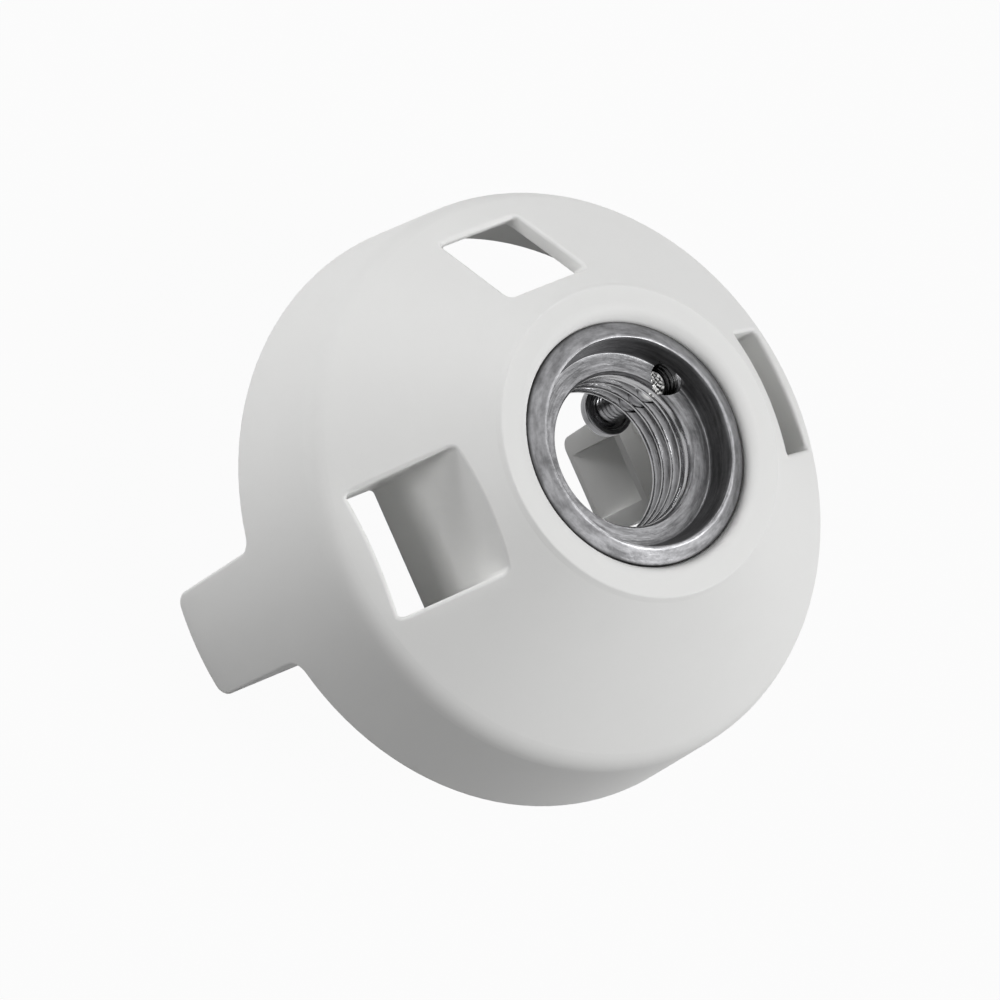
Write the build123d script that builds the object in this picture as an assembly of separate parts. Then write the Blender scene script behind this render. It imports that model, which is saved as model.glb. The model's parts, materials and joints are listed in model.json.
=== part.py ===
"""Cap of a plastic lamp holder: a moulded cap with snap legs, its threaded metal insert and a locking screw.

The legs' tips stand on the XY plane, the axis of the cap is Z, and the legs lie along X.
"""
from build123d import *
import os
from math import cos, hypot, radians, sin, tan

# Skirt, measured at its rim, which is the open rear edge of the cap
rim_radius = 17.96
skirt_height = 7.69
skirt_draft = 4.4  # degrees
skirt_wall = 1.2

# Shoulder, cone and collar
shoulder_round = 2.3
cone_angle = 43.4  # degrees from level
cone_wall = 1.0
collar_width = 2.25  # at its foot, round the insert's flange
collar_rise = 0.3
collar_slant = 0.25  # the collar's edge stands this far in from its foot
collar_round = 0.15
collar_foot_round = 0.2
mouth_round = 1.0

# Boss that holds the insert, behind the collar
boss_wall = 1.35  # round the insert's flange
boss_root_round = 0.5

# Snap legs, with a hollow foot and a wedge-shaped pocket in its inner face
leg_length = 8.0
leg_root_width = 7.0
leg_tip_width = 6.5  # the side towards +Y is the one that tapers
leg_root_round = 0.8
leg_tip_round = 0.8
foot_depth = 6.56  # from the rim's radius in to the foot's inner face
foot_height = 5.8
foot_floor = 1.2
foot_rib = 1.1  # each side of the pocket and the hollow
pocket_depth = 1.1
pocket_start = 0.4
pocket_lip = 0.6
hollow_wall = 0.8  # between the pocket and the hollow

# Windows over the legs, each with walls round it inside the cap
window_gap = 1.07  # from the collar's foot
window_margin = 2.38  # from the rim's radius
window_width = 7.7
chute_wall = 1.0
chute_length = 3.85  # up from the rim to the walls' lower edge

# Window above the catch, and the catch inside the skirt
top_window_gap = 0.93  # from the collar's foot
top_window_margin = 2.86  # from the rim's radius
top_window_width = 5.75
top_window_shift = -0.26  # of the window and its catch, from the plane between the legs
corner_round = 0.3  # of the windows' corners
edge_round = 0.2  # of the windows' and the skirt's outer edges
catch_width = 4.8
catch_height = 2.0
catch_reach = 1.6

# Threaded insert
insert_sink = 0.6  # from the collar's face to the flange's front edge
insert_length = 5.65  # from there to the insert's rear
flange_radius = 7.25
flange_depth = 2.2
hex_inset = 1.05  # of its flats, in from the flange's edge
lip_slant = 0.85  # the lip's edge stands this far in from the flange's edge
lip_rise = 0.5
lip_width = 0.2
mouth_slant = 0.43  # the ledge's edge stands this far in from the lip
ledge_depth = 1.27  # from the flange's front edge
thread_lead = 0.2
bore_radius = 4.48  # crest of an M10 by 1 thread
rear_lead = 0.1

# Locking screw, beside the bore
screw_gap = 0.99  # from the bore's wall to the screw's axis
screw_bearing = 31.7  # degrees from X towards Y
shank_radius = 1.0
shank_clearance = 0.05
screw_length = 4.95
screw_standoff = 1.86  # from the insert's rear to the head
tip_chamfer = 0.15
head_radius = 1.6
head_height = 0.7
head_round = 0.2
slot_width = 0.4
slot_depth = 0.35

# Places that follow from the sizes
draft = tan(radians(skirt_draft))
slope = tan(radians(cone_angle))
rim_z = leg_length
corner_z = rim_z + skirt_height
corner_radius = rim_radius - skirt_height * draft
far = 2 * rim_radius
collar_radius = flange_radius + collar_width
boss_radius = flange_radius + boss_wall
window_inner = collar_radius + window_gap
window_outer = rim_radius - window_margin
top_window_inner = collar_radius + top_window_gap
top_window_outer = rim_radius - top_window_margin
foot_face = rim_radius - foot_depth
lip_radius = flange_radius - lip_slant
ledge_radius = lip_radius - lip_width - mouth_slant
screw_offset = bore_radius + screw_gap
near = 0.001  # within this, a point lies on a face


def cone_z(radius):
    """Height of the cone's outer face."""
    return corner_z + (corner_radius - radius) * slope


def skirt_radius(z):
    """Radius of the skirt's outer face."""
    return rim_radius + (rim_z - z) * draft


top_z = cone_z(collar_radius) + collar_rise
ring_z = top_z - insert_sink
flange_z = ring_z - flange_depth
insert_rear_z = ring_z - insert_length


def rounded(outline, radius, *points):
    """Round the outline's corners that lie at the given points."""
    corners = [outline.vertices().sort_by_distance((x, y, 0))[0] for x, y in points]
    return fillet(corners, radius)


def turned(outline):
    """Turn an outline of radius and height about the axis."""
    return revolve(Plane.XZ * outline, Axis.Z)


def across(outline, width):
    """Extrude an outline of X and height, centred on the plane through both legs."""
    return extrude(Plane.XZ * outline, width / 2, both=True)


def span(x_low, x_high, y_low, y_high):
    """Rectangle between two limits on each axis."""
    return Polygon((x_low, y_low), (x_high, y_low), (x_high, y_high), (x_low, y_high), align=None)


def shaft(outline, low):
    """Upright cut with rounded corners, from a height up through the cap."""
    return extrude(Plane.XY.offset(low) * fillet(outline.vertices(), corner_round), far)


def both_sides(part):
    """The part and its mirror image across the axis."""
    return part + mirror(part, Plane.YZ)


def outer_form():
    """Outside of the cap, with the skirt carried on down the legs."""
    foot_radius = skirt_radius(0)
    shoulder = (corner_radius, corner_z)
    collar_foot = (collar_radius, top_z - collar_rise)
    collar_edge = (collar_radius - collar_slant, top_z)
    mouth = (flange_radius, top_z)
    outline = Polygon((0, 0), (foot_radius, 0), shoulder, collar_foot, collar_edge, mouth,
                      (flange_radius, flange_z), (0, flange_z), align=None)
    outline = rounded(outline, shoulder_round, shoulder)
    outline = rounded(outline, collar_foot_round, collar_foot)
    outline = rounded(outline, collar_round, collar_edge)
    outline = rounded(outline, mouth_round, mouth)
    root = leg_root_width / 2
    roots = [(-root, rim_z), (root, rim_z)]
    tips = [(-root, 0), (leg_tip_width - root, 0)]
    side = Polygon((-far, far), (-far, rim_z), roots[0], *tips, roots[1], (far, rim_z), (far, far),
                   align=None)
    side = rounded(side, leg_root_round, *roots)
    side = rounded(side, leg_tip_round, *tips)
    return turned(outline) & extrude(Plane.YZ * side, far, both=True)


def inner_space():
    """Space inside the skirt and cone, round the boss."""
    drop = cone_wall / cos(radians(cone_angle))
    fall = (drop - skirt_wall * slope) / (1 - draft * slope)
    shoulder = (corner_radius + fall * draft - skirt_wall, corner_z - fall)
    boss_root = (boss_radius, cone_z(boss_radius) - drop)
    foot_radius = skirt_radius(0) - skirt_wall
    boss_end = (boss_radius, insert_rear_z)
    outline = Polygon((0, 0), (foot_radius, 0), shoulder, boss_root, boss_end, (0, insert_rear_z), align=None)
    outline = rounded(outline, shoulder_round - skirt_wall, shoulder)
    outline = rounded(outline, boss_root_round, boss_root)
    return turned(outline)


def leg_blank():
    """Foot, the wall behind the window and the chute's walls, before they are trimmed to the outside."""
    foot = across(span(foot_face, far, 0, foot_height), far)
    back = across(span(window_outer, far, 0, top_z), window_width)
    chute_x = window_inner - chute_wall
    chute = across(span(chute_x, far, rim_z + chute_length, top_z), window_width + 2 * chute_wall)
    return foot + back + chute


def leg_hollows():
    """Window, the foot's hollow under it and the pocket in the foot's inner face."""
    window = shaft(span(window_inner, window_outer, -window_width / 2, window_width / 2), foot_height)
    core_width = leg_tip_width - 2 * foot_rib
    pocket_end = foot_height - pocket_lip
    wedge = Polygon((foot_face, pocket_start), (foot_face + pocket_depth, pocket_end),
                    (foot_face, pocket_end), align=None)
    hollow_x = foot_face + pocket_depth + hollow_wall
    hollow = span(hollow_x, window_outer, foot_floor, far)
    foot_middle = (leg_tip_width - leg_root_width) / 2
    return window + Pos(0, foot_middle, 0) * (across(wedge, core_width) + across(hollow, core_width))


def catch():
    """Catch inside the skirt, below its own window, with a slope for the body to slide over."""
    inner = rim_radius - skirt_wall - catch_reach
    wedge = Polygon((far, rim_z), (inner + catch_reach, rim_z), (inner, rim_z + catch_height / 2),
                    (inner, rim_z + catch_height), (far, rim_z + catch_height), align=None)
    return Pos(top_window_shift, 0, 0) * extrude(Plane.YZ * wedge, catch_width / 2, both=True)


def lies_on(edge, gap):
    """Whether an edge lies on a turned face, whose gap from a point is given by radius and height."""
    points = [edge @ share for share in (0, 0.5, 1)]
    return all(abs(gap(hypot(point.X, point.Y), point.Z)) < near for point in points)


def softened(cap):
    """Cap with the outer edges of its windows rounded, and then those of its rim and legs."""
    curved = [edge for edge in cap.edges() if edge.geom_type not in (GeomType.LINE, GeomType.CIRCLE)]
    window_edges = [edge for edge in curved if lies_on(edge, lambda radius, z: z - cone_z(radius))]
    cap = fillet(window_edges, edge_round)
    bent = [edge for edge in cap.edges() if edge.geom_type != GeomType.LINE and (edge @ 0.5).Z < rim_z + near]
    skirt_edges = [edge for edge in bent if lies_on(edge, lambda radius, z: radius - skirt_radius(z))]
    return fillet(skirt_edges, edge_round)


def make_cap():
    """The moulded cap."""
    form = outer_form()
    blanks = both_sides(leg_blank()) + catch()
    half_width = top_window_width / 2
    top_window = span(top_window_shift - half_width, top_window_shift + half_width,
                      top_window_inner, top_window_outer)
    cap = form - inner_space() + (form & blanks)
    cap = cap - both_sides(leg_hollows())
    cap = cap - shaft(top_window, corner_z - skirt_height / 2)
    return softened(cap - hexagonal(rim_z, ring_z) - screw_hole())


def hexagonal(low, high):
    """Bar between two heights with the insert's hexagonal section, one corner towards the screw."""
    section = RegularPolygon(flange_radius - hex_inset, 6, major_radius=False, rotation=screw_bearing)
    return extrude(Plane.XY.offset(low) * section, high - low)


def insert_blank():
    """Outside of the insert: a round flange on a hexagonal body."""
    return turned(span(0, flange_radius, flange_z, ring_z)) + hexagonal(insert_rear_z, flange_z)


def screw_place():
    """Point on the screw's axis at the insert's rear."""
    angle = radians(screw_bearing)
    return Pos(screw_offset * cos(angle), screw_offset * sin(angle), insert_rear_z)


def screw_hole():
    """Hole beside the bore, from the insert's rear to the flange's front edge."""
    hole = Cylinder(shank_radius + shank_clearance, insert_length)
    return screw_place() * Pos(0, 0, insert_length / 2) * hole


def make_insert():
    """Threaded insert with its stepped mouth and the screw's hole."""
    lip_z = ring_z + lip_rise
    lip = turned(Polygon((0, ring_z), (flange_radius, ring_z), (lip_radius, lip_z), (0, lip_z), align=None))
    ledge_z = ring_z - ledge_depth
    bore_z = ledge_z - thread_lead
    mouth = Polygon((0, far), (lip_radius, far), (lip_radius - lip_width, lip_z), (ledge_radius, ledge_z),
                    (bore_radius, bore_z), (bore_radius, insert_rear_z + rear_lead),
                    (bore_radius + rear_lead, insert_rear_z), (0, insert_rear_z), align=None)
    return insert_blank() + lip - turned(mouth) - screw_hole()


def make_screw():
    """Locking screw with a slotted head towards the open rear."""
    under_head = -screw_standoff
    rear = under_head - head_height
    tip = under_head + screw_length
    outline = Polygon((0, rear), (head_radius, rear), (head_radius, under_head), (shank_radius, under_head),
                      (shank_radius, tip - tip_chamfer), (shank_radius - tip_chamfer, tip), (0, tip),
                      align=None)
    outline = rounded(outline, head_round, (head_radius, rear))
    slot = Pos(0, 0, rear + slot_depth / 2) * Box(slot_width, 2 * head_radius, slot_depth)
    return screw_place() * (turned(outline) - slot)


def main():
    """Write one file for each piece."""
    os.makedirs("parts", exist_ok=True)
    pieces = {"cap": make_cap(), "threaded_insert": make_insert(), "locking_screw": make_screw()}
    for name, piece in pieces.items():
        print(name, len(piece.solids()), round(piece.volume, 2), piece.bounding_box())
        export_step(piece, f"parts/{name}.step")


main()
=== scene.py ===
"""Looks of a lamp holder's cap: its moulded plastic, its threaded metal insert and its locking screw.

Lengths in the property groups are in metres, and the axis of the cap is Z.
"""
import json
from math import atan2, cos, pi, radians, sin

import bmesh
import bpy
import numpy as np
from mathutils import Matrix, Vector


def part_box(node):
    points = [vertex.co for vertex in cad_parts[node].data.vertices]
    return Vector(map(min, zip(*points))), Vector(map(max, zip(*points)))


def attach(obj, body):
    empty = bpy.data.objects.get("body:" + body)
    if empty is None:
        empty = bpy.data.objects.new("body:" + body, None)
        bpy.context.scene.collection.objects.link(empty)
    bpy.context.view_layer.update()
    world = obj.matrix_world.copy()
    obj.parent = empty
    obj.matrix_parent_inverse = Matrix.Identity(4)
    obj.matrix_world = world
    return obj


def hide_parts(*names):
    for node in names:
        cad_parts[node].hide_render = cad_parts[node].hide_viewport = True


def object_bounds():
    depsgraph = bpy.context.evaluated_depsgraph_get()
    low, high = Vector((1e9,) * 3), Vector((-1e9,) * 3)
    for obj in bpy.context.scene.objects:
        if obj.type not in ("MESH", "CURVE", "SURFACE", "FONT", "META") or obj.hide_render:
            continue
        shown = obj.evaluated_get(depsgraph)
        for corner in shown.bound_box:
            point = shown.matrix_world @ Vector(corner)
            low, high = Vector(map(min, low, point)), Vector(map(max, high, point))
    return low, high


bl_info = {
    "name": "Lamp holder cap",
    "version": (1, 0, 0),
    "blender": (4, 5, 0),
    "location": "3D View > Sidebar > Lamp cap",
    "description": "Gives the cap of a lamp holder its plastic, its threaded insert and its locking screw",
    "category": "Object",
}

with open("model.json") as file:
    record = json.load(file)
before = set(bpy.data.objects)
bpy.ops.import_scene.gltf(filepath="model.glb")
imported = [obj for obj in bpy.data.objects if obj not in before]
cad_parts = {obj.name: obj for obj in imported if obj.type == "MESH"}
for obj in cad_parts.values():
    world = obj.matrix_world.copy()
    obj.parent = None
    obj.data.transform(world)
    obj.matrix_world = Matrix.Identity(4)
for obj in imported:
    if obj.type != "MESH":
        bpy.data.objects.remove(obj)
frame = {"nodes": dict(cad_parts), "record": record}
CAD_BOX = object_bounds()
MM = 0.001
PIPE = next(mount for mount in frame["record"]["mounts"] if mount["name"] == "pipe_thread")
INSERT_LOW, INSERT_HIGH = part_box("threaded_insert")
SCREW_LOW, SCREW_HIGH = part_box("locking_screw")


# Property groups

class CapFinish(bpy.types.PropertyGroup):
    """Finish of the moulded plastic."""

    colour: bpy.props.FloatVectorProperty(
        name="Colour", description="Colour of the plastic", subtype="COLOR",
        size=4, min=0, max=1, default=(0.87, 0.87, 0.86, 1))
    roughness: bpy.props.FloatProperty(
        name="Roughness", description="Roughness of the moulded surface", subtype="FACTOR",
        min=0, max=1, default=0.55)
    grain: bpy.props.FloatProperty(
        name="Grain", description="Size of the fine grain", subtype="DISTANCE", unit="LENGTH",
        default=0.25 * MM, precision=5)
    grain_depth: bpy.props.FloatProperty(
        name="Grain depth", description="Height of the fine grain", subtype="DISTANCE", unit="LENGTH",
        default=0.004 * MM, precision=6)
    specks: bpy.props.FloatProperty(
        name="Specks", description="How dark the few specks in the plastic are", subtype="FACTOR",
        min=0, max=1, default=0.5)


class InsertForm(bpy.types.PropertyGroup):
    """Sizes and finish of the threaded insert."""

    pitch: bpy.props.FloatProperty(
        name="Pitch", description="Pitch of the bore's thread", subtype="DISTANCE", unit="LENGTH",
        default=1.0 * MM, precision=5)
    crest_radius: bpy.props.FloatProperty(
        name="Crest radius", description="Radius of the bore between the thread's crests", subtype="DISTANCE",
        unit="LENGTH", default=PIPE["dims"]["r_mm"] * MM, precision=5)
    root_radius: bpy.props.FloatProperty(
        name="Root radius", description="Radius of the thread's root", subtype="DISTANCE", unit="LENGTH",
        default=5.0 * MM, precision=5)
    thread_start: bpy.props.FloatProperty(
        name="Thread's start", description="Height of the first crest over the insert's rear",
        subtype="DISTANCE", unit="LENGTH", default=0.3 * MM, precision=5)
    plain_front: bpy.props.FloatProperty(
        name="Plain front", description="Depth of the bore under the ledge before the thread is full",
        subtype="DISTANCE", unit="LENGTH", default=1.2 * MM, precision=5)
    crest_width: bpy.props.FloatProperty(
        name="Crest width", description="Power of the thread's wave, more for a wider crest", min=0.3,
        default=1.3)
    ledge_radius: bpy.props.FloatProperty(
        name="Ledge radius", description="Outer radius of the ledge in the mouth", subtype="DISTANCE",
        unit="LENGTH", default=5.77 * MM, precision=5)
    ledge_depth: bpy.props.FloatProperty(
        name="Ledge depth", description="Depth of the ledge under the lip", subtype="DISTANCE", unit="LENGTH",
        default=1.77 * MM, precision=5)
    lip_radius: bpy.props.FloatProperty(
        name="Lip radius", description="Outer radius of the lip", subtype="DISTANCE", unit="LENGTH",
        default=6.4 * MM, precision=5)
    lip_width: bpy.props.FloatProperty(
        name="Lip width", description="Width of the lip's flat", subtype="DISTANCE", unit="LENGTH",
        default=0.2 * MM, precision=5)
    lip_rise: bpy.props.FloatProperty(
        name="Lip rise", description="Height of the lip over the flange's edge", subtype="DISTANCE",
        unit="LENGTH", default=0.5 * MM, precision=5)
    flange_depth: bpy.props.FloatProperty(
        name="Flange depth", description="Depth of the round flange", subtype="DISTANCE", unit="LENGTH",
        default=2.2 * MM, precision=5)
    hex_flats: bpy.props.FloatProperty(
        name="Hexagon", description="Width across the hexagon's flats", subtype="DISTANCE", unit="LENGTH",
        default=12.4 * MM, precision=5)
    front_lead: bpy.props.FloatProperty(
        name="Front lead", description="Chamfer at the front of the bore", subtype="DISTANCE", unit="LENGTH",
        default=0.2 * MM, precision=5)
    rear_lead: bpy.props.FloatProperty(
        name="Rear lead", description="Chamfer at the rear of the bore", subtype="DISTANCE", unit="LENGTH",
        default=0.1 * MM, precision=5)
    colour: bpy.props.FloatVectorProperty(
        name="Colour", description="Colour of the plated metal", subtype="COLOR",
        size=4, min=0, max=1, default=(0.33, 0.33, 0.34, 1))
    roughness: bpy.props.FloatProperty(
        name="Roughness", description="Roughness of the plated metal", subtype="FACTOR",
        min=0, max=1, default=0.42)


class ScrewForm(bpy.types.PropertyGroup):
    """Sizes and finish of the locking screw."""

    pitch: bpy.props.FloatProperty(
        name="Pitch", description="Pitch of the screw's thread", subtype="DISTANCE", unit="LENGTH",
        default=0.4 * MM, precision=5)
    shank_radius: bpy.props.FloatProperty(
        name="Shank radius", description="Radius of the thread's crest", subtype="DISTANCE", unit="LENGTH",
        default=0.95 * MM, precision=5)
    thread_depth: bpy.props.FloatProperty(
        name="Thread depth", description="Depth of the screw's thread", subtype="DISTANCE", unit="LENGTH",
        default=0.22 * MM, precision=5)
    head_height: bpy.props.FloatProperty(
        name="Head height", description="Height of the head", subtype="DISTANCE", unit="LENGTH",
        default=0.7 * MM, precision=5)
    slot_width: bpy.props.FloatProperty(
        name="Slot width", description="Width of the driver's slot", subtype="DISTANCE", unit="LENGTH",
        default=0.4 * MM, precision=5)
    slot_depth: bpy.props.FloatProperty(
        name="Slot depth", description="Depth of the driver's slot", subtype="DISTANCE", unit="LENGTH",
        default=0.35 * MM, precision=5)
    hole_radius: bpy.props.FloatProperty(
        name="Hole radius", description="Radius of the crests in the insert's hole for the screw",
        subtype="DISTANCE", unit="LENGTH", default=0.97 * MM, precision=5)
    hole_rise: bpy.props.FloatProperty(
        name="Hole's end", description="Height over the ledge up to which the hole cuts the mouth's wall",
        subtype="DISTANCE", unit="LENGTH", default=0.55 * MM, precision=5)
    hole_depth: bpy.props.FloatProperty(
        name="Hole's thread", description="Depth of the thread in the insert's hole", subtype="DISTANCE",
        unit="LENGTH", default=0.16 * MM, precision=5)
    tip_dents: bpy.props.FloatProperty(
        name="Tip dents", description="Depth of the dents in the cut tip", subtype="DISTANCE", unit="LENGTH",
        default=0.16 * MM, precision=5)
    colour: bpy.props.FloatVectorProperty(
        name="Colour", description="Colour of the screw's metal", subtype="COLOR",
        size=4, min=0, max=1, default=(0.30, 0.30, 0.31, 1))
    roughness: bpy.props.FloatProperty(
        name="Roughness", description="Roughness of the screw's metal", subtype="FACTOR",
        min=0, max=1, default=0.3)


class StageSetting(bpy.types.PropertyGroup):
    """Camera, lamps and floor."""

    azimuth: bpy.props.FloatProperty(
        name="Azimuth", description="Side that the camera stands on, from X towards Y", subtype="ANGLE",
        unit="ROTATION", default=radians(180 + 4.0563))
    elevation: bpy.props.FloatProperty(
        name="Elevation", description="Height of the camera over the level", subtype="ANGLE",
        unit="ROTATION", default=radians(55.381))
    roll: bpy.props.FloatProperty(
        name="Roll", description="Turn of the camera about its line of sight", subtype="ANGLE",
        unit="ROTATION", default=radians(62.872))
    distance: bpy.props.FloatProperty(
        name="Distance", description="Distance from the camera to the point it looks at", subtype="DISTANCE",
        unit="LENGTH", default=0.4)
    aim: bpy.props.FloatVectorProperty(
        name="Aim", description="Point that the camera looks at", subtype="TRANSLATION", unit="LENGTH",
        size=3, default=(-0.0344 * MM, 0.6730 * MM, 8.0092 * MM), precision=6)
    lens: bpy.props.FloatProperty(
        name="Lens", description="Focal length in millimetres on a sensor 36 mm wide", default=243.916)
    key: bpy.props.FloatProperty(
        name="Key", description="Strength of the high front lamp", default=1.0, min=0)
    side: bpy.props.FloatProperty(
        name="Side", description="Strength of the low lamp behind", default=1.0, min=0)
    fill: bpy.props.FloatProperty(
        name="Fill", description="Strength of the low lamp on the left", default=1.0, min=0)
    ambient: bpy.props.FloatProperty(
        name="Ambient", description="Strength of the light that comes from all round", default=0.02, min=0)


# Shader helpers

def new_group(name, inputs, outputs):
    """Shader node group with its sockets, given as (name, socket type, default)."""
    tree = bpy.data.node_groups.new(name, "ShaderNodeTree")
    for label, kind, default in inputs:
        socket = tree.interface.new_socket(name=label, in_out="INPUT", socket_type=kind)
        socket.default_value = default
    for label, kind in outputs:
        tree.interface.new_socket(name=label, in_out="OUTPUT", socket_type=kind)
    return tree, tree.nodes.new("NodeGroupInput").outputs, tree.nodes.new("NodeGroupOutput").inputs


def node(tree, kind, links=(), **settings):
    """A node with its settings, and with its inputs linked or set from (input, source or value) pairs."""
    made = tree.nodes.new(kind)
    for key, value in settings.items():
        setattr(made, key, value)
    for key, source in links:
        if isinstance(source, bpy.types.NodeSocket):
            tree.links.new(source, made.inputs[key])
        else:
            made.inputs[key].default_value = source
    return made


def maths(tree, operation, *values):
    """Output of a Math node."""
    return node(tree, "ShaderNodeMath", tuple(enumerate(values)), operation=operation).outputs[0]


def remap(tree, value, low, high, new_low=0.0, new_high=1.0):
    """Value moved from one range to another, and held inside it."""
    links = ((0, value), (1, low), (2, high), (3, new_low), (4, new_high))
    return node(tree, "ShaderNodeMapRange", links).outputs[0]


def mix_colour(tree, factor, first, second):
    """Colour between two colours, each given as a socket or as red, green and blue."""
    links = [("Factor", factor)]
    for place, colour in ((6, first), (7, second)):
        given = isinstance(colour, bpy.types.NodeSocket)
        links.append((place, colour if given else (*colour, 1)))
    return node(tree, "ShaderNodeMix", links, data_type="RGBA").outputs[2]


def noise(tree, place, scale, detail, roughness=0.5):
    """Noise value on a place."""
    links = (("Vector", place), ("Scale", scale), ("Detail", detail), ("Roughness", roughness))
    return node(tree, "ShaderNodeTexNoise", links).outputs[0]


def mottle_group():
    """Two sizes of soft noise added together, as a value about one half."""
    tree, given, out = new_group(
        "Mottle", [("Scale", "NodeSocketFloat", 100.0), ("Fine share", "NodeSocketFloat", 0.4)],
        [("Value", "NodeSocketFloat")])
    place = node(tree, "ShaderNodeTexCoord").outputs["Object"]
    broad = noise(tree, place, given["Scale"], 2.0)
    fine = noise(tree, place, maths(tree, "MULTIPLY", given["Scale"], 6.0), 4.0, 0.6)
    mixed = node(tree, "ShaderNodeMix", (("Factor", given["Fine share"]), ("A", broad), ("B", fine)))
    tree.links.new(mixed.outputs["Result"], out["Value"])
    return tree


def turning_group():
    """Place on a turned piece, from its upright axis: radius, height, and the value of marks that run round
    it as arcs. The marks are noise on (c x / r, c y / r, k (r + z)), so c sets how short the arcs are."""
    tree, given, out = new_group(
        "Turning marks", [("Centre X", "NodeSocketFloat", 0.0), ("Centre Y", "NodeSocketFloat", 0.0),
                          ("Rings per metre", "NodeSocketFloat", 8000.0), ("Arcs", "NodeSocketFloat", 1.0)],
        [("Value", "NodeSocketFloat"), ("Radius", "NodeSocketFloat"), ("Height", "NodeSocketFloat")])
    place = node(tree, "ShaderNodeTexCoord").outputs["Object"]
    parts = node(tree, "ShaderNodeSeparateXYZ", (("Vector", place),)).outputs
    across = maths(tree, "SUBTRACT", parts["X"], given["Centre X"])
    along = maths(tree, "SUBTRACT", parts["Y"], given["Centre Y"])
    squares = maths(tree, "ADD", maths(tree, "POWER", across, 2.0), maths(tree, "POWER", along, 2.0))
    radius = maths(tree, "SQRT", squares)
    turned_x = maths(tree, "MULTIPLY", maths(tree, "DIVIDE", across, radius), given["Arcs"])
    turned_y = maths(tree, "MULTIPLY", maths(tree, "DIVIDE", along, radius), given["Arcs"])
    rise = maths(tree, "MULTIPLY", maths(tree, "ADD", radius, parts["Z"]), given["Rings per metre"])
    spot = node(tree, "ShaderNodeCombineXYZ", (("X", turned_x), ("Y", turned_y), ("Z", rise))).outputs[0]
    tree.links.new(noise(tree, spot, 1.0, 3.0, 0.6), out["Value"])
    tree.links.new(radius, out["Radius"])
    tree.links.new(parts["Z"], out["Height"])
    return tree


def placed(tree, group, **values):
    """Outputs of a node group placed in a tree with its values."""
    made = node(tree, "ShaderNodeGroup", node_tree=group)
    for label, value in values.items():
        made.inputs[label.replace("_", " ")].default_value = value
    return made.outputs


def blank_material(name):
    """Material with an empty tree."""
    material = bpy.data.materials.new(name)
    material.use_nodes = True
    material.node_tree.nodes.clear()
    return material, material.node_tree


def surface(name):
    """Material with nothing in its tree but the surface shader and its output."""
    material, tree = blank_material(name)
    shader = node(tree, "ShaderNodeBsdfPrincipled")
    node(tree, "ShaderNodeOutputMaterial", (("Surface", shader.outputs[0]),))
    return material, tree, shader


def bump(tree, height, distance, under=None):
    """Normal of a height given as a value, over an earlier normal where there is one."""
    links = [("Height", height), ("Distance", distance)]
    if under:
        links.append(("Normal", under))
    return node(tree, "ShaderNodeBump", links).outputs[0]


# Mesh helpers

EQUAL_POINTS = 2e-7


def linked(name, data):
    """Object of its data, in the scene."""
    thing = bpy.data.objects.new(name, data)
    bpy.context.scene.collection.objects.link(thing)
    return thing


def run(start, end, count, keep_end=False):
    """Straight stretch of a profile as an array of (radius, height), without its end unless asked."""
    share = np.linspace(0, 1, count + 1)[:, None]
    points = np.array(start) * (1 - share) + np.array(end) * share
    return points if keep_end else points[:-1]


def turn(before, corner, after, size, count=4):
    """Rounded corner: a quadratic curve between points that lie size from the corner on each side."""
    corner = np.array(corner)
    start = corner + size * direction(corner, before)
    end = corner + size * direction(corner, after)
    share = np.linspace(0, 1, count + 1)[:, None]
    return start * (1 - share) ** 2 + 2 * corner * share * (1 - share) + end * share ** 2


def direction(start, end):
    """Unit vector from one point to another."""
    way = np.array(end) - np.array(start)
    return way / np.linalg.norm(way)


def closed_mesh(name, points):
    """Mesh of a grid of points, with equal points merged and faces outward."""
    rows, columns = points.shape[:2]
    mesh = bpy.data.meshes.new(name)
    index = np.arange(rows * columns).reshape(rows, columns)
    quads = np.stack([index[:-1, :-1], index[:-1, 1:], index[1:, 1:], index[1:, :-1]], axis=-1)
    mesh.from_pydata(points.reshape(-1, 3).tolist(), [], quads.reshape(-1, 4).tolist())
    work = bmesh.new()
    work.from_mesh(mesh)
    bmesh.ops.remove_doubles(work, verts=work.verts, dist=EQUAL_POINTS)
    bmesh.ops.dissolve_degenerate(work, edges=work.edges, dist=EQUAL_POINTS / 2)
    bmesh.ops.recalc_face_normals(work, faces=work.faces)
    work.to_mesh(mesh)
    work.free()
    return mesh


def add_piece(name, mesh, material, body, slot, *stands_for):
    """Object of a mesh, which rides on a body and stands for the frame's nodes."""
    piece = linked(name, mesh)
    mesh.materials.clear()
    mesh.materials.append(material)
    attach(piece, body)
    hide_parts(*stands_for)


def polar(radius, angle, height, centre=(0, 0)):
    """Points from arrays of radius, angle and height about an upright axis."""
    angle = np.broadcast_to(angle, radius.shape)
    height = np.broadcast_to(height, radius.shape)
    return np.stack([centre[0] + radius * np.cos(angle), centre[1] + radius * np.sin(angle), height], axis=-1)


def thread_stations(start, end, pitch, per_pitch):
    """Heights of the rows that follow a thread, so many to each pitch, as a column. The first is a whole
    pitch below the start, and the last is the end."""
    turns = np.arange(-1, int(np.ceil((end - start) / pitch)) + 1)
    marks = np.linspace(0, 1, per_pitch + 1)[:-1]
    heights = start + pitch * (turns[:, None] + marks[None, :]).ravel()
    heights = np.clip(heights, None, end)
    return np.append(heights[heights < end - 1e-9], end)[:, None]


# Cap

PLASTIC = {"IOR": 1.5, "Specular IOR Level": 0.35, "Subsurface Weight": 0.4,
           "Subsurface Radius": (1, 1, 1), "Subsurface Scale": 0.8 * MM}
SPECK_COLOUR = (0.16, 0.14, 0.12)
SPECK_CELLS_PER_METRE = 260.0
CELLS_WITHOUT_SPECK = 0.93
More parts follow.
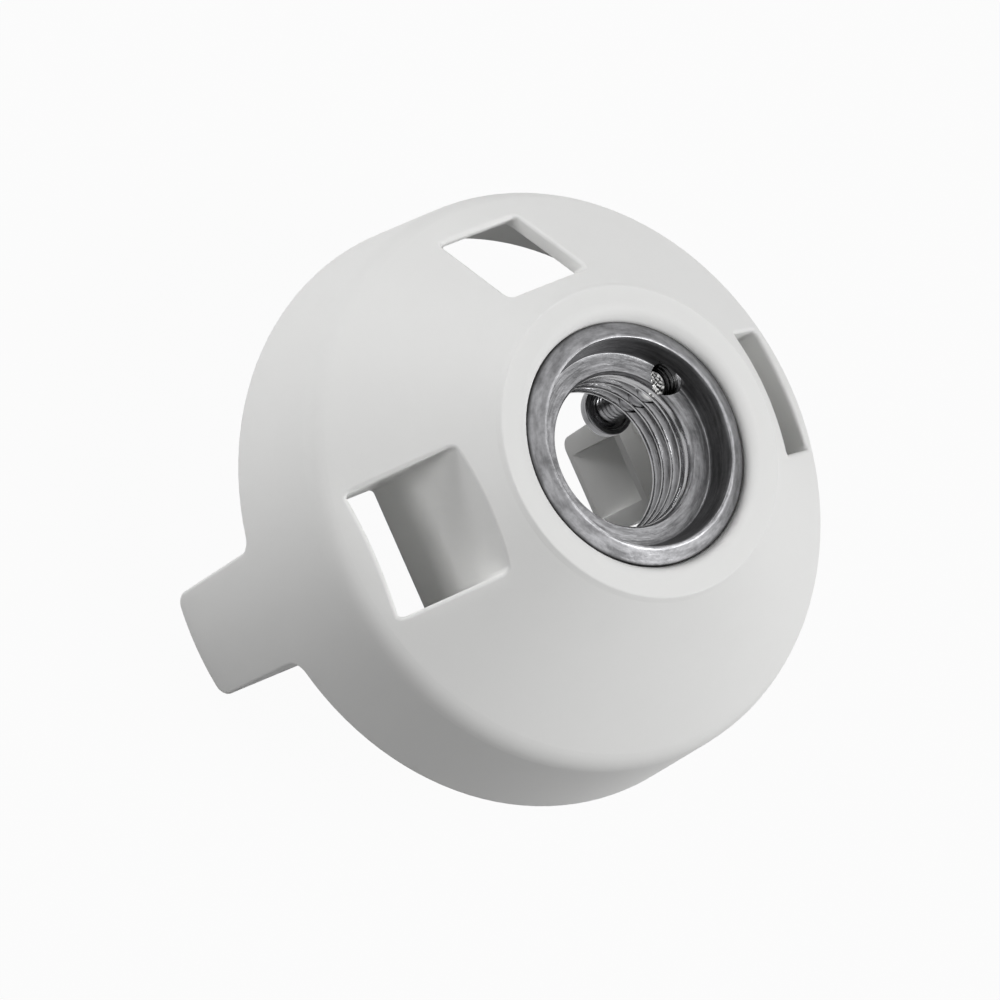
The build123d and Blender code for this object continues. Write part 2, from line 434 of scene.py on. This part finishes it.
# Where a speck starts and has ended fading, as shares of its cell
SPECK_EDGE = (0.03, 0.05)
CAP_MOTTLE = {"Scale": 90.0, "Fine_share": 0.3}


def cap_material(finish):
    """Moulded white plastic, which lets a little light through: a fine grain, a faint change of tone and a
    few dark specks."""
    material, tree, shader = surface("Moulded plastic")
    tone = placed(tree, bpy.data.node_groups["Mottle"], **CAP_MOTTLE)[0]
    base = Vector(finish.colour[:3])
    shade = remap(tree, tone, 0.3, 0.7)
    plain = mix_colour(tree, shade, base * 0.985, base * 1.01)
    place = node(tree, "ShaderNodeTexCoord").outputs["Object"]
    cells = node(tree, "ShaderNodeTexVoronoi", (("Vector", place), ("Scale", SPECK_CELLS_PER_METRE)))
    chance = node(tree, "ShaderNodeSeparateColor", (("Color", cells.outputs["Color"]),)).outputs[0]
    rare = maths(tree, "GREATER_THAN", chance, CELLS_WITHOUT_SPECK)
    spot = remap(tree, cells.outputs["Distance"], *SPECK_EDGE, 1.0, 0.0)
    speck = maths(tree, "MULTIPLY", maths(tree, "MULTIPLY", spot, rare), finish.specks)
    tree.links.new(mix_colour(tree, speck, plain, SPECK_COLOUR), shader.inputs["Base Color"])
    rough = remap(tree, tone, 0.3, 0.7, finish.roughness - 0.04, finish.roughness + 0.05)
    tree.links.new(rough, shader.inputs["Roughness"])
    grain = noise(tree, place, 1 / finish.grain, 3.0, 0.6)
    tree.links.new(bump(tree, grain, finish.grain_depth), shader.inputs["Normal"])
    for label, value in PLASTIC.items():
        shader.inputs[label].default_value = value
    return material


class LAMPCAP_OT_cap(bpy.types.Operator):
    """Give the cap its moulded plastic"""

    bl_idname = "lampcap.cap"
    bl_label = "Cap"

    def execute(self, context):
        cap = frame["nodes"]["cap"]
        cap.data.materials.clear()
        cap.data.materials.append(cap_material(context.scene.lampcap_finish))
        return {"FINISHED"}


# Insert

INSERT_COLUMNS = 384
INSERT_ROWS_PER_TURN = 16
SCREW_COLUMNS = 96
SCREW_ROWS_PER_TURN = 8
EDGE = 0.06 * MM
# Painted shade: the near black that the insert's plating is mixed towards, and its share on the slanting
# wall, deep in the thread, at the outer seam and on the ledge
PAINTED_SHADE_METAL = (0.03, 0.03, 0.03)
WALL_PAINTED_SHADE = 0.75
THREAD_ROOT_PAINTED_SHADE = 0.92
SEAM_PAINTED_SHADE = 0.8
LEDGE_PAINTED_SHADE = 0.35
# Painted highlight: the paler metal on the thread's crests, and its share
CREST_HIGHLIGHT_METAL = (0.45, 0.45, 0.46)
CREST_HIGHLIGHT_SHARE = 0.8
THREAD_ROUGHNESS = 0.17
METAL_MOTTLE = {"Scale": 600.0, "Fine_share": 0.5}
MARKS_SHARE = 0.65
MARKS_HEIGHT = 0.02 * MM
MOTTLE_HEIGHT = 0.03 * MM
# Turning marks: rings to a metre, how short the arcs are, and how dark the stains
INSERT_MARKS = (4500.0, 3.0, 0.55)
SCREW_MARKS = (9000.0, 0.5, 0.4)


def groove(phase, depth, sharpness=1.0):
    """Depth of a thread's groove by the share of the pitch from the middle of its crest: a cosine wave
    between nothing and the depth, raised to a power that widens the crest."""
    return depth * (0.5 - 0.5 * np.cos(2 * pi * phase)) ** sharpness


def insert_mesh(form, screw_turn):
    """Threaded insert as one closed surface. Each point is a radius and height at an angle. In the bore,
    the rows climb by one pitch in a turn, and the radius is the larger of the plain bore with its two leads
    and the thread. The front lead fades as the exponential of minus a power of the depth, and the rear one
    is straight. Outside, the radius is the turned flange's or the hexagon's, which is half the flats over the
    cosine of the angle from the nearest flat's middle. One corner points at the screw."""
    angle = np.linspace(0, 2 * pi, INSERT_COLUMNS + 1)[None, :]
    low = INSERT_LOW.z
    top = INSERT_HIGH.z
    ring = top - form.lip_rise
    ledge = top - form.ledge_depth
    flange = INSERT_HIGH.x
    under = ring - form.flange_depth
    crest = form.crest_radius

    rows = thread_stations(low, ledge, form.pitch, INSERT_ROWS_PER_TURN)
    height = np.clip(rows + form.pitch * angle / (2 * pi), low, ledge)
    depth = np.clip(ledge - height, 0, None)
    roll = form.front_lead * np.exp(-(depth / form.front_lead) ** 1.4)
    rear = np.clip(low + form.rear_lead - height, 0, None)
    wave = (height - low - form.thread_start) / form.pitch - angle / (2 * pi)
    full = np.clip(2 * depth / form.plain_front - 1, 0, 1)
    thread = groove(wave, form.root_radius - crest, form.crest_width) * full
    radius = np.maximum(crest + np.maximum(roll, rear), crest + thread)
    bore = polar(radius, angle, height)

    wall_foot = (form.ledge_radius, ledge)
    lip_inner = (form.lip_radius - form.lip_width, top)
    lip_outer = (form.lip_radius, top)
    edge = (flange, ring)
    mouth = np.concatenate([
        turn((0, ledge), wall_foot, lip_inner, EDGE),
        run(wall_foot, lip_inner, 12)[1:],
        turn(wall_foot, lip_inner, lip_outer, EDGE),
        turn(lip_inner, lip_outer, edge, EDGE),
        run(lip_outer, edge, 8)[1:],
        turn(lip_outer, edge, (flange, under), EDGE),
    ])
    share = np.linspace(0, 1, 9)[1:-1, None]
    ledge_rows = radius[-1:] * (1 - share) + mouth[0, 0] * share

    sector = radians(60)
    hexagon = form.hex_flats / 2 / np.cos((angle - screw_turn) % sector - sector / 2)
    hexagon = np.minimum(hexagon, flange - EDGE)
    hex_wall = polar(np.repeat(hexagon, 2, axis=0), angle, np.array([[under], [low]]))
    rear_share = np.linspace(0, 1, 5)[1:-1, None]
    rear_rows = hexagon * (1 - rear_share) + radius[:1] * rear_share
    points = np.concatenate([
        bore,
        polar(ledge_rows, angle, ledge),
        polar(np.repeat(mouth[:, :1], INSERT_COLUMNS + 1, axis=1), angle, mouth[:, 1:]),
        polar(np.full((1, INSERT_COLUMNS + 1), flange), angle, under),
        hex_wall,
        polar(rear_rows, angle, low),
        bore[:1],
    ])
    return closed_mesh("threaded_insert_blank", points)


def hole_cutter(form, centre, low, high):
    """Closed threaded bar that cuts the screw's hole. The radius is the hole's crest plus the groove times
    one plus twice the cosine of the angle from the way outward, held between nothing and one. So the groove
    is cut on the side away from the bore only, where the wall is thick."""
    angle = np.linspace(0, 2 * pi, SCREW_COLUMNS + 1)[None, :]
    rows = thread_stations(low, high, form.pitch, SCREW_ROWS_PER_TURN)
    height = np.clip(rows + form.pitch * angle / (2 * pi), low, high)
    wave = (height - low) / form.pitch - angle / (2 * pi)
    away = np.clip(1 + 2 * np.cos(angle - atan2(centre[1], centre[0])), 0, 1)
    radius = form.hole_radius + groove(wave, form.hole_depth) * away
    wall = polar(radius, angle, height, centre)
    middle = np.zeros((1, SCREW_COLUMNS + 1))
    foot = polar(middle, angle, low, centre)
    face = polar(middle, angle, high, centre)
    return closed_mesh("hole_cutter", np.concatenate([foot, wall, face]))


def cut_by(mesh, cutter_mesh, name, sharp):
    """The first mesh without the second, with edges past the angle sharp."""
    things = [linked("blank", part) for part in (mesh, cutter_mesh)]
    cut = things[0].modifiers.new("cut", "BOOLEAN")
    cut.operation = "DIFFERENCE"
    cut.solver = "EXACT"
    cut.object = things[1]
    bpy.context.view_layer.update()
    ready = things[0].evaluated_get(bpy.context.evaluated_depsgraph_get())
    made = bpy.data.meshes.new_from_object(ready)
    for thing, part in zip(things, (mesh, cutter_mesh)):
        bpy.data.objects.remove(thing)
        bpy.data.meshes.remove(part)
    made.name = name
    made.shade_smooth()
    made.set_sharp_from_angle(angle=sharp)
    return made


def plated_metal(name, colour, centre, rings, arcs, stain):
    """Plated metal with turning marks about its own axis, but for its colour and roughness. Gives the
    material, its tree and shader, an uneven value, the tint made of it, and the place about the axis."""
    material, tree, shader = surface(name)
    mottle = placed(tree, bpy.data.node_groups["Mottle"], **METAL_MOTTLE)[0]
    marks = placed(tree, bpy.data.node_groups["Turning marks"], Centre_X=centre[0], Centre_Y=centre[1],
                   Rings_per_metre=rings, Arcs=arcs)
    base = Vector(colour[:3])
    broad = maths(tree, "MULTIPLY", mottle, 1 - MARKS_SHARE)
    uneven = maths(tree, "ADD", broad, maths(tree, "MULTIPLY", marks["Value"], MARKS_SHARE))
    shade = remap(tree, uneven, 0.4, 0.6)
    tint = mix_colour(tree, shade, base * (1 - stain), base)
    shader.inputs["Metallic"].default_value = 1.0
    ringed = bump(tree, marks["Value"], MARKS_HEIGHT)
    tree.links.new(bump(tree, mottle, MOTTLE_HEIGHT, ringed), shader.inputs["Normal"])
    return material, tree, shader, uneven, tint, marks


def insert_material(form):
    """Plating of the insert, with painted shade on the mouth's slanting wall and in the screw's notch, deep
    in the thread and at the outer seam, fainter painted shade on the ledge, a painted highlight of paler
    metal on the thread's crests, and smoother metal in the bore."""
    made = plated_metal("Plated insert", form.colour, (0.0, 0.0), *INSERT_MARKS)
    material, tree, shader, _, tint, marks = made
    radius = marks["Radius"]
    height = marks["Height"]
    ledge = INSERT_HIGH.z - form.ledge_depth
    ring = INSERT_HIGH.z - form.lip_rise
    lip = form.lip_radius - form.lip_width
    rim = INSERT_HIGH.x

    # Painted shade on the mouth's slanting wall, above the ledge and inside the lip
    over_ledge = remap(tree, height, ledge + 0.02 * MM, ledge + 0.2 * MM)
    inside_lip = remap(tree, radius, lip - 0.08 * MM, lip, 1.0, 0.0)
    under_ring = remap(tree, height, ring - 0.3 * MM, ring - 0.1 * MM, 1.0, 0.0)
    wall = maths(tree, "MULTIPLY", over_ledge, maths(tree, "MAXIMUM", inside_lip, under_ring))
    # Painted shade deep in the thread's roots
    in_bore = remap(tree, height, ledge - 0.3 * MM, ledge - 0.1 * MM, 1.0, 0.0)
    root = remap(tree, radius, form.crest_radius + 0.05 * MM, form.root_radius)
    thread = maths(tree, "MULTIPLY", in_bore, root)
    # Painted shade at the outer seam, where the flange meets the plastic
    seam = remap(tree, radius, rim - 0.16 * MM, rim - 0.02 * MM)
    # Faint painted shade on the ledge
    past_bore = remap(tree, height, ledge - 0.15 * MM, ledge - 0.05 * MM)
    below_wall = remap(tree, height, ledge + 0.02 * MM, ledge + 0.1 * MM, 1.0, 0.0)
    flat = maths(tree, "MULTIPLY", past_bore, below_wall)
    # Painted shade: the plating mixed towards near black where these masks are strongest
    dark = 0.0
    for mask, share in ((wall, WALL_PAINTED_SHADE), (thread, THREAD_ROOT_PAINTED_SHADE), (seam, SEAM_PAINTED_SHADE), (flat, LEDGE_PAINTED_SHADE)):
        dark = maths(tree, "MAXIMUM", dark, maths(tree, "MULTIPLY", mask, share))

    # Painted highlight: paler metal on the thread's crests
    crest = remap(tree, radius, form.crest_radius, form.crest_radius + 0.2 * MM, CREST_HIGHLIGHT_SHARE, 0.0)
    worn = mix_colour(tree, maths(tree, "MULTIPLY", in_bore, crest), tint, CREST_HIGHLIGHT_METAL)
    tree.links.new(mix_colour(tree, dark, worn, PAINTED_SHADE_METAL), shader.inputs["Base Color"])
    rough = remap(tree, in_bore, 0.0, 1.0, form.roughness, THREAD_ROUGHNESS)
    tree.links.new(rough, shader.inputs["Roughness"])
    return material


class LAMPCAP_OT_insert(bpy.types.Operator):
    """Make the threaded insert, with its thread and its stepped mouth"""

    bl_idname = "lampcap.insert"
    bl_label = "Threaded insert"

    def execute(self, context):
        form = context.scene.lampcap_insert
        screw = context.scene.lampcap_screw
        centre = (SCREW_LOW + SCREW_HIGH) / 2
        blank = insert_mesh(form, atan2(centre.y, centre.x))
        high = INSERT_HIGH.z - form.ledge_depth + screw.hole_rise
        cutter = hole_cutter(screw, centre, INSERT_LOW.z - MM, high)
        mesh = cut_by(blank, cutter, "threaded_insert_cut", radians(38))
        metal = insert_material(form)
        add_piece("threaded_insert_metal", mesh, metal, "cap", "insert_metal", "threaded_insert")
        return {"FINISHED"}


# Screw

HEAD_ROUND = 0.2 * MM
# Radii of the ring sunk under the head, as shares of the head's radius, and its depth
RING_RADII = (0.78, 0.74, 0.66, 0.62)
RING_DEPTH = 0.1 * MM
CHAMFER_HEIGHT = 0.1 * MM
CHAMFER_SLOPE = 1.2
# Waves of the cut tip: how fast each runs along x, along y and with their product, and its shift
TIP_WAVES = ((5.1, 2.3, 0.0, 0.6), (-3.1, 7.4, 0.0, 1.9), (11.0, 0.0, 6.0, 4.0))
TIP_SCALE = 2.2 / MM
TIP_METAL = (0.75, 0.75, 0.74)


def screw_mesh(form, centre):
    """Locking screw as one closed surface. From the head's face to the shank the profile is turned. Along
    the shank the rows climb by one pitch in a turn, and the radius is the smaller of the shank with its
    chamfered tip and the thread. The tip's face sinks by a sum of three sine waves, none of it proud."""
    angle = np.linspace(0, 2 * pi, SCREW_COLUMNS + 1)[None, :]
    rear = SCREW_LOW.z
    tip = SCREW_HIGH.z
    head = (SCREW_HIGH.x - SCREW_LOW.x) / 2
    seat = rear + form.head_height
    rim = (head, rear)
    seat_rim = (head, seat)
    outer, floor_outer, floor_inner, inner = (head * share for share in RING_RADII)
    step = (outer, seat)
    floor = seat - RING_DEPTH
    profile = np.concatenate([
        run((0, rear), (head - HEAD_ROUND, rear), 4),
        turn((0, rear), rim, seat_rim, HEAD_ROUND, 6),
        turn(rim, seat_rim, step, 0.08 * MM),
        turn(seat_rim, step, (floor_outer, floor), 0.02 * MM, 2),
        run((floor_outer, floor), (floor_inner, floor), 2, True),
        run((inner, seat), (form.shank_radius, seat), 2),
    ])
    head_rows = polar(np.repeat(profile[:, :1], SCREW_COLUMNS + 1, axis=1), angle, profile[:, 1:], centre)

    rows = thread_stations(seat, tip, form.pitch, SCREW_ROWS_PER_TURN)
    height = np.clip(rows + form.pitch * angle / (2 * pi), seat, tip)
    wave = (height - seat) / form.pitch - angle / (2 * pi)
    ridge = form.shank_radius - groove(wave, form.thread_depth)
    chamfer = CHAMFER_SLOPE * np.clip(height - (tip - CHAMFER_HEIGHT), 0, None)
    shank_radius = np.minimum(ridge, form.shank_radius - chamfer)
    shank = polar(shank_radius, angle, height, centre)

    share = np.linspace(1, 0, 12)[1:, None]
    radius = shank_radius[-1:] * share
    x = TIP_SCALE * radius * np.cos(angle)
    y = TIP_SCALE * radius * np.sin(angle)
    waves = sum(np.sin(a * x + b * y + c * x * y + shift) for a, b, c, shift in TIP_WAVES)
    sunk = form.tip_dents * (0.5 - waves / len(TIP_WAVES) / 2) * (1 - share ** 8)
    face = polar(radius, angle, tip - sunk, centre)
    points = np.concatenate([head_rows, shank, face])
    points[0] = points[0].mean(axis=0)
    points[-1] = points[-1].mean(axis=0)
    return closed_mesh("locking_screw_metal", points)


def slot_cutter(form, centre):
    """Bar that cuts the driver's slot across the head's face."""
    mesh = bpy.data.meshes.new("slot_cutter")
    work = bmesh.new()
    bmesh.ops.create_cube(work, size=1.0)
    bmesh.ops.scale(work, vec=(form.slot_width, 5 * MM, 2 * form.slot_depth), verts=work.verts)
    bmesh.ops.translate(work, vec=(centre[0], centre[1], SCREW_LOW.z), verts=work.verts)
    work.to_mesh(mesh)
    work.free()
    return mesh


def screw_material(form, centre):
    """Plating of the screw, with bare bright metal on its cut tip."""
    made = plated_metal("Plated screw", form.colour, (centre.x, centre.y), *SCREW_MARKS)
    material, tree, shader, uneven, tint, marks = made
    bare = remap(tree, marks["Height"], SCREW_HIGH.z - 0.3 * MM, SCREW_HIGH.z - 0.15 * MM)
    tree.links.new(mix_colour(tree, bare, tint, TIP_METAL), shader.inputs["Base Color"])
    rough = remap(tree, uneven, 0.35, 0.65, form.roughness + 0.1, form.roughness - 0.08)
    tree.links.new(rough, shader.inputs["Roughness"])
    return material


class LAMPCAP_OT_screw(bpy.types.Operator):
    """Make the locking screw, with its thread and its slotted head"""

    bl_idname = "lampcap.screw"
    bl_label = "Locking screw"

    def execute(self, context):
        form = context.scene.lampcap_screw
        centre = (SCREW_LOW + SCREW_HIGH) / 2
        mesh = cut_by(screw_mesh(form, centre), slot_cutter(form, centre), "locking_screw_cut", radians(35))
        metal = screw_material(form, centre)
        add_piece("locking_screw_metal", mesh, metal, "screw", "screw_metal", "locking_screw")
        return {"FINISHED"}


# Stage

LAMP_DISTANCE = 0.6
# Name, setting that scales it, azimuth and elevation in degrees, size, strength
LAMPS = (
    ("high front lamp", "key", 315, 55, 0.3, 0.82),
    ("low rear lamp", "side", 102, 7, 0.25, 0.69),
    ("low left lamp", "fill", 170, 17, 0.25, 0.28),
)
FLOOR_HALF = 3.0
FLOOR_COLOUR = (0.25, 0.25, 0.25, 1)
FLOOR_WHITE_SHARE = 0.96
SENSOR_WIDTH = 36
WHITE = (1, 1, 1, 1)


def lamp(name, azimuth, elevation, distance, size, strength):
    """Square area lamp that faces the middle of the cap, with the strength as what falls on a surface that
    faces it: the power is the strength times pi times the distance squared times pi over four."""
    light = bpy.data.lights.new(name, "AREA")
    light.size = size
    light.energy = strength * pi * pi * distance ** 2
    thing = linked(name, light)
    around = radians(azimuth)
    up = radians(elevation)
    back = Vector((cos(around) * cos(up), sin(around) * cos(up), sin(up)))
    middle = (CAD_BOX[0] + CAD_BOX[1]) / 2
    thing.location = middle + back * distance
    thing.rotation_euler = back.to_track_quat("Z", "Y").to_euler()


def seen(tree):
    """One for camera, mirror and clear rays, and nothing for the others."""
    path = node(tree, "ShaderNodeLightPath").outputs
    direct = maths(tree, "MAXIMUM", path["Is Camera Ray"], path["Is Glossy Ray"])
    return maths(tree, "MAXIMUM", direct, path["Is Transmission Ray"])


def shown_white(tree, lit, share):
    """Shader that camera, mirror and clear rays see as white for a share, and as lit for the rest."""
    factor = maths(tree, "MULTIPLY", seen(tree), share)
    glow = node(tree, "ShaderNodeEmission", (("Color", WHITE), ("Strength", 1.0)))
    links = ((0, factor), (1, lit), (2, glow.outputs[0]))
    return node(tree, "ShaderNodeMixShader", links).outputs[0]


def add_floor():
    """Pale floor under the legs' tips."""
    corners = [(x * FLOOR_HALF, y * FLOOR_HALF, 0) for x, y in ((-1, -1), (1, -1), (1, 1), (-1, 1))]
    mesh = bpy.data.meshes.new("floor")
    mesh.from_pydata(corners, [], [(0, 1, 2, 3)])
    material, tree = blank_material("Pale floor")
    lit = node(tree, "ShaderNodeBsdfDiffuse", (("Color", FLOOR_COLOUR),)).outputs[0]
    node(tree, "ShaderNodeOutputMaterial", (("Surface", shown_white(tree, lit, FLOOR_WHITE_SHARE)),))
    mesh.materials.append(material)
    floor = linked("floor", mesh)


def add_world(ambient):
    """World that lights the object weakly and is white to camera, mirror and clear rays."""
    world = bpy.data.worlds.new("Studio")
    world.use_nodes = True
    tree = world.node_tree
    tree.nodes.clear()
    lit = node(tree, "ShaderNodeBackground", (("Color", WHITE), ("Strength", ambient)))
    shown = node(tree, "ShaderNodeBackground", (("Color", WHITE), ("Strength", 1.0)))
    mixed = node(tree, "ShaderNodeMixShader", ((0, seen(tree)), (1, lit.outputs[0]), (2, shown.outputs[0])))
    node(tree, "ShaderNodeOutputWorld", (("Surface", mixed.outputs[0]),))
    bpy.context.scene.world = world


def add_camera(stage):
    """Camera at the photo's view: back from its aim along the azimuth and elevation, then rolled."""
    back = Vector((cos(stage.azimuth) * cos(stage.elevation), sin(stage.azimuth) * cos(stage.elevation),
                   sin(stage.elevation)))
    level = Vector((-sin(stage.azimuth), cos(stage.azimuth), 0))
    rise = back.cross(level)
    right = level * cos(stage.roll) + rise * sin(stage.roll)
    up = back.cross(right)
    camera = linked("camera", bpy.data.cameras.new("camera"))
    place = Matrix((right, up, back)).transposed().to_4x4()
    place.translation = Vector(stage.aim) + back * stage.distance
    camera.matrix_world = place
    camera.data.lens = stage.lens
    camera.data.sensor_width = SENSOR_WIDTH
    camera.data.clip_start = 0.01
    camera.data.clip_end = 20
    bpy.context.scene.camera = camera


class LAMPCAP_OT_stage(bpy.types.Operator):
    """Set the floor, the lamps and the camera"""

    bl_idname = "lampcap.stage"
    bl_label = "Stage"

    def execute(self, context):
        stage = context.scene.lampcap_stage
        add_floor()
        add_world(stage.ambient)
        add_camera(stage)
        for name, setting, azimuth, elevation, size, strength in LAMPS:
            lamp(name, azimuth, elevation, LAMP_DISTANCE, size, strength * getattr(stage, setting))
        context.scene.view_settings.view_transform = "Standard"
        return {"FINISHED"}


class LAMPCAP_PT_panel(bpy.types.Panel):
    """Steps that make the lamp holder's cap"""

    bl_idname = "LAMPCAP_PT_panel"
    bl_label = "Lamp holder cap"
    bl_space_type = "VIEW_3D"
    bl_region_type = "UI"
    bl_category = "Lamp cap"

    def draw(self, context):
        column = self.layout.column()
        for operator in OPERATORS:
            column.operator(operator.bl_idname)


GROUPS = {
    "lampcap_finish": CapFinish,
    "lampcap_insert": InsertForm,
    "lampcap_screw": ScrewForm,
    "lampcap_stage": StageSetting,
}
OPERATORS = (LAMPCAP_OT_cap, LAMPCAP_OT_insert, LAMPCAP_OT_screw, LAMPCAP_OT_stage)


def register():
    """Register the classes and hang the property groups on the scene."""
    for name, group in GROUPS.items():
        bpy.utils.register_class(group)
        setattr(bpy.types.Scene, name, bpy.props.PointerProperty(type=group))
    for made in (*OPERATORS, LAMPCAP_PT_panel):
        bpy.utils.register_class(made)


def unregister():
    """Take the classes and the property groups away again."""
    for made in (LAMPCAP_PT_panel, *reversed(OPERATORS)):
        bpy.utils.unregister_class(made)
    for name, group in reversed(GROUPS.items()):
        delattr(bpy.types.Scene, name)
        bpy.utils.unregister_class(group)


def main():
    """Make every piece and the stage."""
    register()
    mottle_group()
    turning_group()
    bpy.ops.lampcap.cap()
    bpy.ops.lampcap.insert()
    bpy.ops.lampcap.screw()
    bpy.ops.lampcap.stage()


if __name__ == "__main__":
    main()
